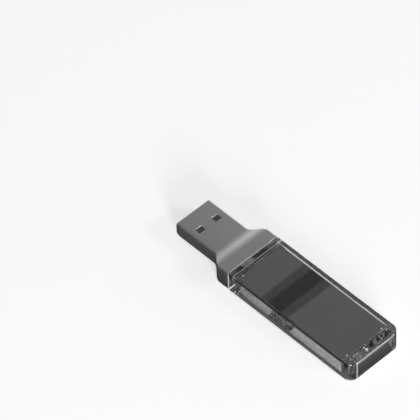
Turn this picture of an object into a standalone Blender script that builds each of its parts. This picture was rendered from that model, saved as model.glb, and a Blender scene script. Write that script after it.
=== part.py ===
"""USB stick programmer: a clear sleeve over a lit core, behind a one-piece metal nose.

Frame: metres, +Z up, plug towards -X. The origin is the centre of the bottom of the whole
object's box, on the surface that the sleeve rests on.
"""

from math import cos, pi, radians, sin

import bmesh
import bpy
from mathutils import Vector

MM = 0.001

# Whole object
LENGTH = 67.0 * MM
WIDTH = 18.0 * MM
HEIGHT = 6.2 * MM

# Plug shell, the standard-A section
PLUG_WIDTH = 12.0 * MM
PLUG_HEIGHT = 4.5 * MM
PLUG_WALL = 0.3 * MM
PLUG_CORNER = 0.6 * MM
NOSE_LENGTH = 22.4 * MM
LIP_RADIUS = 1.3 * MM
LIP_TURN = radians(65)

# Neck, which swells from the plug's section to the sleeve's
SWELL_START = 14.0 * MM
SWELL_END = 19.0 * MM
NECK_WALL = 0.5 * MM
NECK_CORNER = 0.45 * MM

# Retention windows in the plug shell, measured from its tip
WINDOW_FRONT = 5.0 * MM
WINDOW_LENGTH = 1.9 * MM
WINDOW_INNER = 1.75 * MM
WINDOW_OUTER = 4.05 * MM

# Clear sleeve
SIDE_WALL = 0.85 * MM
FLOOR_WALL = 1.0 * MM
REAR_CORNER = 2.6 * MM
EDGE_RADIUS = 0.25 * MM
CAVITY_FRONT = 2.3 * MM
CAVITY_REAR = 41.2 * MM
CAVITY_EDGE = 0.3 * MM
LIGHT_RECESS_FRONT = 1.2 * MM
LIGHT_RECESS_LOW = 0.9 * MM
SLOT_FRONT = 41.6 * MM
SLOT_WIDTH = 2.1 * MM
SLOT_LENGTH = 14.2 * MM

# Gaps between neighbours
SEAM = 0.05 * MM
CLEARANCE = 0.1 * MM
SOLDER = 0.05 * MM

# Tongue and contacts in the plug
TONGUE_FRONT = 1.4 * MM
TONGUE_REAR = 13.4 * MM
TONGUE_HALF_WIDTH = 5.55 * MM
TONGUE_LOW = -1.88 * MM
TONGUE_TOP = -0.1 * MM
TONGUE_EDGE = 0.3 * MM
CONTACT_WIDTH = 1.0 * MM
CONTACT_THICKNESS = 0.2 * MM
CONTACT_REAR = 15.5 * MM
OUTER_CONTACT_FRONT = 1.9 * MM
INNER_CONTACT_FRONT = 2.9 * MM
OUTER_CONTACT_Y = 3.5 * MM
INNER_CONTACT_Y = 1.0 * MM

# Circuit board
BOARD_THICKNESS = 0.8 * MM
BOARD_TOP = -0.3 * MM
BOARD_FRONT = 13.6 * MM
BOARD_REAR = 39.6 * MM
BOARD_HALF_WIDTH = 6.5 * MM
BOARD_NECK_HALF_WIDTH = 5.0 * MM
BOARD_STEP = 4.1 * MM

# Collar inside the neck, and the latch spring that runs from it into the sleeve's front
COLLAR_FRONT = -2.9 * MM
COLLAR_REAR = -0.15 * MM
COLLAR_EDGE = 0.25 * MM
LATCH_FRONT = -2.4 * MM
LATCH_REAR = 1.0 * MM
LATCH_LEFT = -4.1 * MM
LATCH_RIGHT = -0.2 * MM
LATCH_LOW = 1.66 * MM
LATCH_TOP = 1.86 * MM
STRIP_EDGE = 0.06 * MM

# Core tray, in the sleeve
TRAY_FRONT = 2.45 * MM
TRAY_REAR = 41.05 * MM
TRAY_HALF_WIDTH = 8.09 * MM
TRAY_HALF_HEIGHT = 1.92 * MM
POCKET_FRONT = 4.0 * MM
POCKET_REAR = 39.8 * MM
POCKET_HALF_WIDTH = 6.6 * MM
LEDGE_WIDTH = 0.7 * MM
LEDGE_END = 1.0 * MM
BRIDGE_FRONT = 13.5 * MM
BRIDGE_REAR = 18.5 * MM
BRIDGE_LOW = 1.1 * MM

# Cover panels over and under the tray
PANEL_FRONT = 2.6 * MM
PANEL_REAR = 40.8 * MM
PANEL_HALF_WIDTH = 7.95 * MM
PANEL_LOW = 1.95 * MM
PANEL_TOP = 2.05 * MM
PANEL_CORNER = 0.4 * MM

# Frosted light guides along the tray's sides; their ends at the gap lean towards the rear
GUIDE_INNER = 7.42 * MM
GUIDE_OUTER = 8.11 * MM
GUIDE_HALF_HEIGHT = 1.89 * MM
FRONT_GUIDE = (4.35 * MM, 15.25 * MM)
REAR_GUIDE = (23.2 * MM, 40.75 * MM)
FRONT_GUIDE_LEAN = 0.8 * MM
REAR_GUIDE_LEAN = 1.0 * MM
GUIDE_EDGE = 0.08 * MM

# Components on the board: place behind the joint and across, then length, width and height, in mm
CHIPS = {
    "controller_chip": ((25.5, 0.0), (7.0, 7.0, 0.9), "chip_epoxy"),
    "memory_chip": ((34.6, -1.2), (5.9, 4.9, 0.9), "chip_epoxy"),
    "crystal_can": ((19.6, 2.6), (3.2, 2.5, 0.8), "solder_tin"),
    "voltage_regulator": ((7.0, 2.4), (2.9, 1.6, 1.1), "chip_epoxy"),
    "resettable_fuse": ((6.6, -2.6), (3.2, 1.6, 0.7), "fuse_green"),
}
CAPACITOR_PLACES = ((11.6, -1.4), (20.2, -3.4), (30.3, 2.4), (11.6, 3.6))
RESISTOR_PLACES = ((14.4, -3.4), (17.2, -3.4), (33.2, 3.4), (36.2, 3.4))
CHIP_EDGE = 0.1 * MM
LED_SIZE = (1.6 * MM, 0.8 * MM, 0.6 * MM)
CAPACITOR_SIZE = (1.6 * MM, 0.8 * MM, 0.8 * MM)
RESISTOR_SIZE = (1.6 * MM, 0.8 * MM, 0.45 * MM)
LED_Y = 6.0 * MM
LED_PORT = (2.0 * MM, 1.0 * MM)

# Derived planes
X_TIP = -LENGTH / 2
X_JOINT = X_TIP + NOSE_LENGTH
X_REAR = LENGTH / 2
Z_MID = HEIGHT / 2
BEYOND = 1.0 * MM

COLOURS = {
    "clear_acrylic": (0.78, 0.80, 0.82),
    "satin_steel": (0.45, 0.45, 0.46),
    "black_plastic": (0.03, 0.03, 0.03),
    "dark_plastic": (0.06, 0.06, 0.065),
    "smoke_film": (0.09, 0.09, 0.09),
    "frosted_guide": (0.62, 0.62, 0.62),
    "gold_plating": (0.83, 0.62, 0.25),
    "board_laminate": (0.02, 0.02, 0.022),
    "chip_epoxy": (0.02, 0.02, 0.02),
    "solder_tin": (0.60, 0.60, 0.60),
    "ceramic_tan": (0.45, 0.33, 0.20),
    "resistor_black": (0.04, 0.04, 0.05),
    "led_lens": (0.85, 0.84, 0.75),
    "fuse_green": (0.05, 0.20, 0.10),
}
METALS = {"satin_steel", "gold_plating", "solder_tin"}
ROUGHNESS = {"clear_acrylic": 0.05, "satin_steel": 0.32, "gold_plating": 0.25, "frosted_guide": 0.6}


def clear_scene():
    for old in list(bpy.data.objects):
        bpy.data.objects.remove(old, do_unlink=True)


def new_collection(name):
    collection = bpy.data.collections.new(name)
    bpy.context.scene.collection.children.link(collection)
    return collection


def finish_material(part_name, finish):
    """A Principled material for one part, from the finish tables."""
    material = bpy.data.materials.new(part_name + "_" + finish)
    material.use_nodes = True
    shader = material.node_tree.nodes["Principled BSDF"]
    shader.inputs["Base Color"].default_value = (*COLOURS[finish], 1.0)
    shader.inputs["Roughness"].default_value = ROUGHNESS.get(finish, 0.5)
    shader.inputs["Metallic"].default_value = 1.0 if finish in METALS else 0.0
    return material


def add_part(name, bm, finish):
    """Turn a bmesh into a named part with its own material."""
    mesh = bpy.data.meshes.new(name)
    bm.to_mesh(mesh)
    bm.free()
    mesh.materials.append(finish_material(name, finish))
    part = bpy.data.objects.new(name, mesh)
    parts.objects.link(part)
    return part


def add_cutter(name, bm):
    """Turn a bmesh into a hidden shape that only cuts or joins parts."""
    mesh = bpy.data.meshes.new(name)
    bm.to_mesh(mesh)
    bm.free()
    cutter = bpy.data.objects.new(name, mesh)
    cutter.hide_render = True
    cutter.display_type = "WIRE"
    cutters.objects.link(cutter)
    return cutter


def combine(part, other, operation="DIFFERENCE"):
    boolean = part.modifiers.new(other.name, "BOOLEAN")
    boolean.operation = operation
    boolean.solver = "EXACT"
    boolean.object = other


def bevel(part, width, segments=2):
    modifier = part.modifiers.new("edges", "BEVEL")
    modifier.width = width
    modifier.segments = segments
    modifier.limit_method = "ANGLE"


def box(low, high):
    """A bmesh box between two corners."""
    bm = bmesh.new()
    bmesh.ops.create_cube(bm, size=1.0)
    low, high = Vector(low), Vector(high)
    for vertex in bm.verts:
        vertex.co = Vector(
            (low[axis] + (vertex.co[axis] + 0.5) * (high[axis] - low[axis])) for axis in range(3)
        )
    return bm


def core_box(front, rear, left, right, low, high):
    """A box given behind the joint plane and above the mid plane."""
    return box(
        (X_JOINT + front, left, Z_MID + low),
        (X_JOINT + rear, right, Z_MID + high),
    )


def edges_along(bm, axis, keep):
    """Edges parallel to an axis whose middle passes a test."""
    found = []
    for edge in bm.edges:
        span = edge.verts[1].co - edge.verts[0].co
        middle = (edge.verts[0].co + edge.verts[1].co) / 2
        if abs(span[axis]) > 0.99 * span.length and keep(middle):
            found.append(edge)
    return found


def round_edges(bm, edges, radius, segments):
    bmesh.ops.bevel(bm, geom=edges, offset=radius, segments=segments, profile=0.5, affect="EDGES")


def smooth(part, angle=35):
    part.data.shade_smooth()
    part.data.set_sharp_from_angle(angle=radians(angle))


def make_sleeve():
    """Clear block cast round the core, with rounded rear corners and a lanyard slot."""
    bm = box((X_JOINT, -WIDTH / 2, 0.0), (X_REAR, WIDTH / 2, HEIGHT))
    rear_corners = edges_along(bm, 2, lambda middle: middle.x > 0)
    round_edges(bm, rear_corners, REAR_CORNER, 8)
    rims = [
        edge for edge in bm.edges
        if abs(edge.verts[0].co.z - edge.verts[1].co.z) < 0.1 * MM
        and (edge.verts[0].co.x + edge.verts[1].co.x) / 2 > X_JOINT + 0.1 * MM
    ]
    round_edges(bm, rims, EDGE_RADIUS, 3)
    sleeve = add_part("clear_sleeve", bm, "clear_acrylic")

    half_width = WIDTH / 2 - SIDE_WALL
    half_height = HEIGHT / 2 - FLOOR_WALL
    cavity = core_box(
        CAVITY_FRONT, CAVITY_REAR, -half_width, half_width, -half_height, half_height
    )
    round_edges(cavity, edges_along(cavity, 0, lambda middle: True), CAVITY_EDGE, 2)
    combine(sleeve, add_cutter("sleeve_cavity", cavity))
    recess = core_box(
        LIGHT_RECESS_FRONT, CAVITY_FRONT + BEYOND, -half_width, half_width,
        LIGHT_RECESS_LOW, half_height,
    )
    combine(sleeve, add_cutter("sleeve_light_recess", recess))
    passage = board_slot(-BEYOND, CAVITY_FRONT + BEYOND)
    combine(sleeve, add_cutter("sleeve_board_slot", passage))
    pocket = core_box(
        -BEYOND, LATCH_REAR + CLEARANCE, LATCH_LEFT - CLEARANCE, LATCH_RIGHT + CLEARANCE,
        LATCH_LOW - SEAM, LATCH_TOP + SEAM,
    )
    combine(sleeve, add_cutter("sleeve_latch_pocket", pocket))

    slot = core_box(
        SLOT_FRONT, SLOT_FRONT + SLOT_WIDTH, -SLOT_LENGTH / 2, SLOT_LENGTH / 2,
        -HEIGHT / 2 - BEYOND, HEIGHT / 2 + BEYOND,
    )
    round_edges(slot, edges_along(slot, 2, lambda middle: True), 0.49 * SLOT_WIDTH, 6)
    combine(sleeve, add_cutter("lanyard_slot", slot))
    smooth(sleeve)


def ring(x, half_width, low, high, radius, arc_steps=4):
    """Points round a rounded rectangle that stands across X."""
    points = []
    corners = (
        (half_width - radius, high - radius, 0.0),
        (radius - half_width, high - radius, pi / 2),
        (radius - half_width, low + radius, pi),
        (half_width - radius, low + radius, 1.5 * pi),
    )
    for centre_y, centre_z, start in corners:
        for step in range(arc_steps + 1):
            turn = start + step / arc_steps * pi / 2
            points.append((x, centre_y + radius * cos(turn), centre_z + radius * sin(turn)))
    return points


def nose_rings(from_tip):
    """The outer and the inner ring of the nose at a distance from its tip."""
    swell = min(1.0, max(0.0, (from_tip - SWELL_START) / (SWELL_END - SWELL_START)))
    swell = swell * swell * (3.0 - 2.0 * swell)
    half_width = PLUG_WIDTH / 2 + swell * (WIDTH - PLUG_WIDTH) / 2
    half_height = PLUG_HEIGHT / 2 + swell * (HEIGHT - PLUG_HEIGHT) / 2
    corner = PLUG_CORNER + swell * (NECK_CORNER - PLUG_CORNER)
    wall = PLUG_WALL + swell * (NECK_WALL - PLUG_WALL)

    # The lower edge of the mouth is rolled in: an arc of LIP_RADIUS through LIP_TURN
    lip_length = LIP_RADIUS * sin(LIP_TURN)
    turned = max(0.0, lip_length - from_tip) / LIP_RADIUS
    lip_cosine = (1.0 - turned * turned) ** 0.5
    low = Z_MID - half_height + LIP_RADIUS * (1.0 - lip_cosine)
    high = Z_MID + half_height

    x = X_TIP + from_tip
    outer = ring(x, half_width, low, high, corner)
    inner_corner = max(corner - wall, 0.2 * MM)
    inner = ring(x, half_width - wall, low + wall / lip_cosine, high - wall, inner_corner)
    return outer, inner


def make_nose():
    """Plug shell and neck in one piece of sheet metal, hollow from end to end."""
    lip_length = LIP_RADIUS * sin(LIP_TURN)
    stations = [lip_length * step / 5 for step in range(6)]
    stations += [WINDOW_FRONT, SWELL_START]
    swell_steps = 12
    for step in range(1, swell_steps + 1):
        stations.append(SWELL_START + (SWELL_END - SWELL_START) * step / swell_steps)
    stations.append(NOSE_LENGTH - SEAM)

    bm = bmesh.new()
    outer_rows, inner_rows = [], []
    for station in stations:
        outer, inner = nose_rings(station)
        outer_rows.append([bm.verts.new(point) for point in outer])
        inner_rows.append([bm.verts.new(point) for point in inner])
    # One closed band: along the outside, round the rear rim, back inside, round the mouth
    rows = outer_rows + inner_rows[::-1]
    count = len(rows[0])
    for index, row in enumerate(rows):
        following = rows[(index + 1) % len(rows)]
        for side in range(count):
            after = (side + 1) % count
            bm.faces.new((row[side], row[after], following[after], following[side]))
    bmesh.ops.recalc_face_normals(bm, faces=bm.faces)
    nose = add_part("nose_shell", bm, "satin_steel")

    for side_name, side in (("left", -1), ("right", 1)):
        near, far = sorted((side * WINDOW_INNER, side * WINDOW_OUTER))
        window = box(
            (X_TIP + WINDOW_FRONT, near, -BEYOND),
            (X_TIP + WINDOW_FRONT + WINDOW_LENGTH, far, HEIGHT + BEYOND),
        )
        combine(nose, add_cutter("window_" + side_name, window))
    smooth(nose)


def make_tongue_and_contacts():
    """Insulating tongue in the lower half of the plug, with four contacts let into its top."""
    tongue = add_part(
        "plug_tongue",
        box(
            (X_TIP + TONGUE_FRONT, -TONGUE_HALF_WIDTH, Z_MID + TONGUE_LOW),
            (X_TIP + TONGUE_REAR, TONGUE_HALF_WIDTH, Z_MID + TONGUE_TOP),
        ),
        "black_plastic",
    )
    bevel(tongue, TONGUE_EDGE)

    contact_low = Z_MID + BOARD_TOP + SOLDER
    contacts = (
        ("contact_vbus", -OUTER_CONTACT_Y, OUTER_CONTACT_FRONT),
        ("contact_data_minus", -INNER_CONTACT_Y, INNER_CONTACT_FRONT),
        ("contact_data_plus", INNER_CONTACT_Y, INNER_CONTACT_FRONT),
        ("contact_ground", OUTER_CONTACT_Y, OUTER_CONTACT_FRONT),
    )
    for name, centre_y, front in contacts:
        left, right = centre_y - CONTACT_WIDTH / 2, centre_y + CONTACT_WIDTH / 2
        groove = box(
            (X_TIP + front - CLEARANCE, left - SEAM, contact_low - SEAM),
            (X_TIP + TONGUE_REAR + BEYOND, right + SEAM, Z_MID + BEYOND),
        )
        combine(tongue, add_cutter(name + "_groove", groove))
        strip = box(
            (X_TIP + front, left, contact_low),
            (X_TIP + CONTACT_REAR, right, contact_low + CONTACT_THICKNESS),
        )
        bevel(add_part(name, strip, "gold_plating"), STRIP_EDGE, 1)


def make_board():
    """Circuit board: a wide part in the tray and a neck that runs into the nose."""
    outline = (
        (X_TIP + BOARD_FRONT, BOARD_NECK_HALF_WIDTH),
        (X_JOINT + BOARD_STEP, BOARD_NECK_HALF_WIDTH),
        (X_JOINT + BOARD_STEP, BOARD_HALF_WIDTH),
        (X_JOINT + BOARD_REAR, BOARD_HALF_WIDTH),
    )
    points = [(x, -y) for x, y in outline] + list(reversed(outline))
    curve = bpy.data.curves.new("circuit_board", "CURVE")
    curve.dimensions = "2D"
    curve.fill_mode = "BOTH"
    curve.extrude = BOARD_THICKNESS / 2
    spline = curve.splines.new("POLY")
    spline.points.add(len(points) - 1)
    for point, (x, y) in zip(spline.points, points):
        point.co = (x, y, 0.0, 1.0)
    spline.use_cyclic_u = True
    curve.materials.append(finish_material("circuit_board", "board_laminate"))
    board = bpy.data.objects.new("circuit_board", curve)
    board.location.z = Z_MID + BOARD_TOP - BOARD_THICKNESS / 2
    parts.objects.link(board)


def board_slot(front, rear):
    """Room for the board's neck through a wall."""
    half_width = BOARD_NECK_HALF_WIDTH + CLEARANCE
    return core_box(
        front, rear, -half_width, half_width,
        BOARD_TOP - BOARD_THICKNESS - CLEARANCE, BOARD_TOP + CLEARANCE,
    )


def make_collar():
    """Black insert that fills the neck behind the sleeve, and the steel latch spring on its top."""
    half_width = WIDTH / 2 - NECK_WALL - CLEARANCE
    half_height = HEIGHT / 2 - NECK_WALL - CLEARANCE
    collar = add_part(
        "nose_collar",
        core_box(COLLAR_FRONT, COLLAR_REAR, -half_width, half_width, -half_height, half_height),
        "black_plastic",
    )
    bevel(collar, COLLAR_EDGE)
    slot = board_slot(COLLAR_FRONT - BEYOND, COLLAR_REAR + BEYOND)
    combine(collar, add_cutter("collar_board_slot", slot))
    recess = core_box(
        LATCH_FRONT - CLEARANCE, BEYOND, LATCH_LEFT - CLEARANCE, LATCH_RIGHT + CLEARANCE,
        LATCH_LOW - SEAM, HEIGHT,
    )
    combine(collar, add_cutter("latch_recess", recess))

    latch = core_box(LATCH_FRONT, LATCH_REAR, LATCH_LEFT, LATCH_RIGHT, LATCH_LOW, LATCH_TOP)
    bevel(add_part("latch_spring", latch, "satin_steel"), STRIP_EDGE, 1)


def guide_shape(span, side, lean_front, lean_rear, margin=0.0):
    """A strip beside the tray whose ends may lean towards the rear at the top."""
    near = GUIDE_INNER - margin
    far = GUIDE_OUTER if margin == 0.0 else GUIDE_OUTER + BEYOND
    left, right = sorted((side * near, side * far))
    half_height = GUIDE_HALF_HEIGHT if margin == 0.0 else TRAY_HALF_HEIGHT + BEYOND
    bm = core_box(
        span[0] - margin, span[1] + margin, left, right, -half_height, half_height
    )
    stretch = half_height / GUIDE_HALF_HEIGHT
    middle = X_JOINT + (span[0] + span[1]) / 2
    for vertex in bm.verts:
        lean = lean_front if vertex.co.x < middle else lean_rear
        vertex.co.x += lean * stretch if vertex.co.z > Z_MID else -lean * stretch
    return bm


def make_tray_and_guides():
    """Dark tray round the board, with frosted light guides let into its sides."""
    tray = add_part(
        "core_tray",
        core_box(
            TRAY_FRONT, TRAY_REAR, -TRAY_HALF_WIDTH, TRAY_HALF_WIDTH,
            -TRAY_HALF_HEIGHT, TRAY_HALF_HEIGHT,
        ),
        "dark_plastic",
    )
    ledge = BOARD_TOP - BOARD_THICKNESS - SEAM
    pocket = POCKET_HALF_WIDTH
    top = TRAY_HALF_HEIGHT + BEYOND
    cuts = (
        ("front_pocket", (POCKET_FRONT, BRIDGE_FRONT, -pocket, pocket, ledge, top)),
        ("rear_pocket", (BRIDGE_REAR, POCKET_REAR, -pocket, pocket, ledge, top)),
        ("bridge_tunnel", (
            BRIDGE_FRONT - BEYOND, BRIDGE_REAR + BEYOND, -pocket, pocket, ledge, BRIDGE_LOW,
        )),
        ("lower_pocket", (
            POCKET_FRONT + LEDGE_END, POCKET_REAR - LEDGE_END, LEDGE_WIDTH - pocket,
            pocket - LEDGE_WIDTH, -top, ledge + BEYOND,
        )),
    )
    for name, limits in cuts:
        combine(tray, add_cutter(name, core_box(*limits)))
    slot = board_slot(TRAY_FRONT - BEYOND, POCKET_FRONT + BEYOND)
    combine(tray, add_cutter("tray_board_slot", slot))

    guides = (
        ("front", FRONT_GUIDE, 0.0, FRONT_GUIDE_LEAN),
        ("rear", REAR_GUIDE, REAR_GUIDE_LEAN, 0.0),
    )
    for end_name, span, lean_front, lean_rear in guides:
        led_x = (span[0] + span[1]) / 2
        for side_name, side in (("left", -1), ("right", 1)):
            name = end_name + "_" + side_name
            recess = guide_shape(span, side, lean_front, lean_rear, CLEARANCE)
            combine(tray, add_cutter("recess_" + name, recess))
            port_length, port_height = LED_PORT
            port_left, port_right = sorted((side * LED_Y, side * GUIDE_OUTER))
            port = core_box(
                led_x - port_length / 2, led_x + port_length / 2, port_left, port_right,
                BOARD_TOP + SOLDER, BOARD_TOP + SOLDER + port_height,
            )
            combine(tray, add_cutter("port_" + name, port))
            guide = guide_shape(span, side, lean_front, lean_rear)
            bevel(add_part("light_guide_" + name, guide, "frosted_guide"), GUIDE_EDGE, 1)
            led = component("led_" + name, (led_x, side * LED_Y), LED_SIZE, "led_lens")
            bevel(led, GUIDE_EDGE)


def make_panels():
    """Thin smoke-grey covers on the top and the bottom of the tray."""
    for name, low, high in (
        ("top_panel", PANEL_LOW, PANEL_TOP),
        ("bottom_panel", -PANEL_TOP, -PANEL_LOW),
    ):
        bm = core_box(PANEL_FRONT, PANEL_REAR, -PANEL_HALF_WIDTH, PANEL_HALF_WIDTH, low, high)
        round_edges(bm, edges_along(bm, 2, lambda middle: True), PANEL_CORNER, 3)
        add_part(name, bm, "smoke_film")


def component(name, place, size, finish):
    """A component on the top of the board: its place behind the joint and across, and its size."""
    length, width, height = size
    x, y = place
    low = BOARD_TOP + SOLDER
    bm = core_box(
        x - length / 2, x + length / 2, y - width / 2, y + width / 2, low, low + height
    )
    return add_part(name, bm, finish)


def make_components():
    """Controller, memory, clock, power and passive parts on the board."""
    for name, (place, size, finish) in CHIPS.items():
        place = tuple(value * MM for value in place)
        size = tuple(value * MM for value in size)
        bevel(component(name, place, size, finish), CHIP_EDGE)

    groups = (
        ("capacitor", CAPACITOR_PLACES, CAPACITOR_SIZE, "ceramic_tan"),
        ("resistor", RESISTOR_PLACES, RESISTOR_SIZE, "resistor_black"),
    )
    for kind, places, size, finish in groups:
        for number, (x, y) in enumerate(places, start=1):
            part = component(kind + "_" + str(number), (x * MM, y * MM), size, finish)
            bevel(part, STRIP_EDGE, 1)


clear_scene()
parts = new_collection("usb_stick_programmer")
cutters = new_collection("cutters")
make_sleeve()
make_nose()
make_tongue_and_contacts()
make_board()
make_collar()
make_tray_and_guides()
make_panels()
make_components()
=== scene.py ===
"""Looks of the USB stick programmer: clear sleeve, satin metal nose, dark core with light guides."""

from math import cos, pi, radians, sin

import bmesh
import bpy
from mathutils import Matrix, Vector


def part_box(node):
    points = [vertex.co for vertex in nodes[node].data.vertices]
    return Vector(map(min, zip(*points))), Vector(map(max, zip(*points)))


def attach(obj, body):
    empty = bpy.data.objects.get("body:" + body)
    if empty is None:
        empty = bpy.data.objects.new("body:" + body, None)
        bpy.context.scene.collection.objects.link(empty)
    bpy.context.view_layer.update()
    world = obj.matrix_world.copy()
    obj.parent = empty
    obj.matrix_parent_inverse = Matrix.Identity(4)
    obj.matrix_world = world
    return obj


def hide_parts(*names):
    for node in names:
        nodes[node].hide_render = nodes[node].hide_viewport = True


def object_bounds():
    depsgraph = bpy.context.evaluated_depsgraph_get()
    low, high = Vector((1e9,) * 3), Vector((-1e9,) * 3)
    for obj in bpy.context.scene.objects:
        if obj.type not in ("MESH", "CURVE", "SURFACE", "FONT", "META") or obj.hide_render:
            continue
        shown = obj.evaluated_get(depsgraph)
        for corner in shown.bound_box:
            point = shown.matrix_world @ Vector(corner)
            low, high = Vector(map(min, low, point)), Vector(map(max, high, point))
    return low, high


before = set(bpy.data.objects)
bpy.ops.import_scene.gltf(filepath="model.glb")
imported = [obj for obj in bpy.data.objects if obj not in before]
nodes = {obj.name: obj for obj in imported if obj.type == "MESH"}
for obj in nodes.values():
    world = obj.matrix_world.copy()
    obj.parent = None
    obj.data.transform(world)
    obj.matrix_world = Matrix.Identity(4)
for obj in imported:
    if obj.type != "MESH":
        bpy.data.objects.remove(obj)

MM = 0.001
WHITE = (1.0, 1.0, 1.0, 1.0)
# Points closer than TINY are one point, a face within TOUCH of a plane lies in it, and a look
# that belongs to a face alone reaches in no further than SKIN
TINY = 0.001 * MM
TOUCH = 0.01 * MM
SKIN = 0.03 * MM
cad_low, cad_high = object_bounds()

# Frame lines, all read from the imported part
sleeve_low, sleeve_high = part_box("clear_sleeve")
nose_low, nose_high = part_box("nose_shell")
tray_low, tray_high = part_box("core_tray")
panel_low, panel_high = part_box("top_panel")
latch_low, latch_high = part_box("latch_spring")
GUIDE_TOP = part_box("light_guide_front_left")[1].z
X_JOINT = sleeve_low.x
X_REAR = sleeve_high.x
X_TIP = nose_low.x
HALF_WIDTH = sleeve_high.y
Z_MID = (sleeve_low.z + sleeve_high.z) / 2
HALF_HEIGHT = (sleeve_high.z - sleeve_low.z) / 2

# Sleeve, as the part has it
SIDE_WALL = 0.85 * MM
FLOOR_WALL = 1.0 * MM
REAR_CORNER = 2.6 * MM
EDGE_RADIUS = 0.25 * MM
FRONT_RIM = 0.2 * MM
CORE_GAP = 0.15 * MM
CAVITY_FRONT = tray_low.x - CORE_GAP
CAVITY_REAR = tray_high.x + CORE_GAP
CAVITY_EDGE = 0.3 * MM
HOLLOW_HALF_WIDTH = HALF_WIDTH - SIDE_WALL
HOLLOW_HALF_HEIGHT = HALF_HEIGHT - FLOOR_WALL
CEILING = sleeve_high.z - FLOOR_WALL
RECESS_FRONT = X_JOINT + 1.2 * MM
RECESS_LOW = Z_MID + 0.9 * MM
BOARD_SLOT_HALF_WIDTH = 5.1 * MM
BOARD_SLOT_LOW = Z_MID - 1.2 * MM
BOARD_SLOT_TOP = Z_MID - 0.2 * MM
LATCH_GAP = Vector((0.1, 0.1, 0.05)) * MM
SLOT_WIDTH = 2.1 * MM
SLOT_LENGTH = 14.2 * MM
SLOT_REAR_BAR = 0.9 * MM
SLOT_REAR = X_REAR - SLOT_REAR_BAR
SLOT_FRONT = SLOT_REAR - SLOT_WIDTH
SLOT_RIM = 0.22 * MM

# Where the sleeve's edges and faces carry painted highlight lines, painted glints and painted dark
# lines, and how deep the rear face's haze reaches
TOP_LINE = 0.55 * MM
TANGENT_LINE = 0.3 * MM
NEAR_LINE = 0.4 * MM
HAZE_DEPTH = 1.6 * MM
GLINT_SPAN = 0.45 * MM
CORNER_GLINT = 8.0 * MM
CORNER_GLINT_SPAN = 0.25 * MM
FAR_LINE_FRONT = X_JOINT + 4.15 * MM
FAR_LINE_REAR = X_JOINT + 40.15 * MM
FAR_LINE_INNER = 7.6 * MM

# Painted glints: light dots with a painted glow on the film panels, near the panels' corners
GLINT_DOT_INSET = 0.3 * MM
GLINT_DOT_MIDDLE = (panel_low.x + panel_high.x) / 2
GLINT_DOT_REACH = (panel_high.x - panel_low.x) / 2 - GLINT_DOT_INSET
GLINT_DOT_Y = 6.2 * MM
GLINT_DOT_RADIUS = 0.24 * MM

# Dark band across the film panels and the rims beside them: tones at shares of its length
BAND_FRONT = X_JOINT + 10.0 * MM
BAND_REAR = X_JOINT + 22.0 * MM
BAND_TONES = (
    (0.08, 0.18), (0.14, 0.09), (0.28, 0.09), (0.36, 0.03),
    (0.68, 0.03), (0.74, 0.09), (0.90, 0.09), (0.96, 0.18),
)

# Painted reflections slanting across the tray's rear end: painted highlight streaks and painted dark
# blobs, as tones at shares of its width
REAR_REFLECTION_SLANT = 0.58
REAR_REFLECTION_MIDDLE = 1.8 * MM
REAR_REFLECTION_SWIRL = 0.05
REAR_REFLECTION_TONES = (
    (0.13, 0.3), (0.16, 0.03), (0.2, 0.2), (0.22, 0.01), (0.25, 0.25), (0.3, 0.07), (0.385, 0.1),
    (0.397, 1.0), (0.413, 1.0), (0.425, 0.05), (0.47, 0.05), (0.48, 0.0), (0.555, 0.0), (0.57, 0.2),
    (0.6, 0.04), (0.64, 0.1), (0.66, 0.0), (0.685, 0.0), (0.695, 0.5), (0.705, 0.0), (0.74, 0.0),
    (0.76, 0.2), (0.8, 0.02),
)

# Moulding mark of a chip, as a share of its sides
MARK_PLACE = 0.16

# Nose, as the part has it
PLUG_WIDTH = 12.0 * MM
PLUG_HEIGHT = 4.5 * MM
PLUG_WALL = 0.3 * MM
PLUG_CORNER = 0.6 * MM
INNER_CORNER = 0.2 * MM
LIP_RADIUS = 1.3 * MM
LIP_TURN = radians(65)
SWELL_START = 14.0 * MM
SWELL_END = 19.0 * MM
NECK_WALL = 0.5 * MM
NECK_CORNER = 0.45 * MM
WINDOW_FRONT = 5.0 * MM
WINDOW_LENGTH = 1.9 * MM
WINDOW_INNER = 1.75 * MM
WINDOW_OUTER = 4.05 * MM
WINDOW_CORNER = 0.15 * MM
CUT_SOFTNESS = 0.05 * MM
GOLD_LENGTH = 3.0 * MM
GOLD_FADE = 0.3 * MM

# Camera: the picture's viewing angle and framing
AIM = Vector((-32.16, 4.81, 3.1)) * MM
AZIMUTH = radians(48.32)
ELEVATION = radians(48.55)
ROLL = radians(-2.79)
DISTANCE = 1093.5 * MM
LENS = 358.64

# Floor: its size, its gap under the object, its glow for the camera, and its greys for reflections
FLOOR_SIZE = 6.0
FLOOR_GAP = 0.02 * MM
FLOOR_GLOW = 0.6
FLOOR_UNDER = 0.08
FLOOR_AROUND = 0.2
SHADE_EDGE = 2.5 * MM
SHADE_FRONT = X_JOINT - 5.0 * MM

# Light: the world's brightness against the height of the direction, towards the far side and
# towards the near side, with a soft change between them, and soft area lights, each with its
# direction, distance, size and power
WORLD_STRENGTH = 3.0
FAR_SKY = ((0.0, 0.9), (0.15, 0.33), (0.4, 0.082), (0.75, 0.064), (1.0, 0.05))
NEAR_SKY = ((0.0, 0.03), (0.45, 0.035), (0.75, 0.05), (1.0, 0.05))
SKY_TURN = (-0.2, 0.4)
LIGHTS = (
    ("far_right", (0.75, 0.44, 0.49), 1.2, (0.3, 0.15), 2.0),
    ("right", (0.85, -0.5, 0.25), 1.2, (0.3, 0.3), 8.0),
)


# ---------------------------------------------------------------- material helpers


def grey(value):
    return (value, value, value)


def greys(tones):
    """Ramp stops in greys, from (position, tone) pairs."""
    return [(position, grey(tone)) for position, tone in tones]


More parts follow.
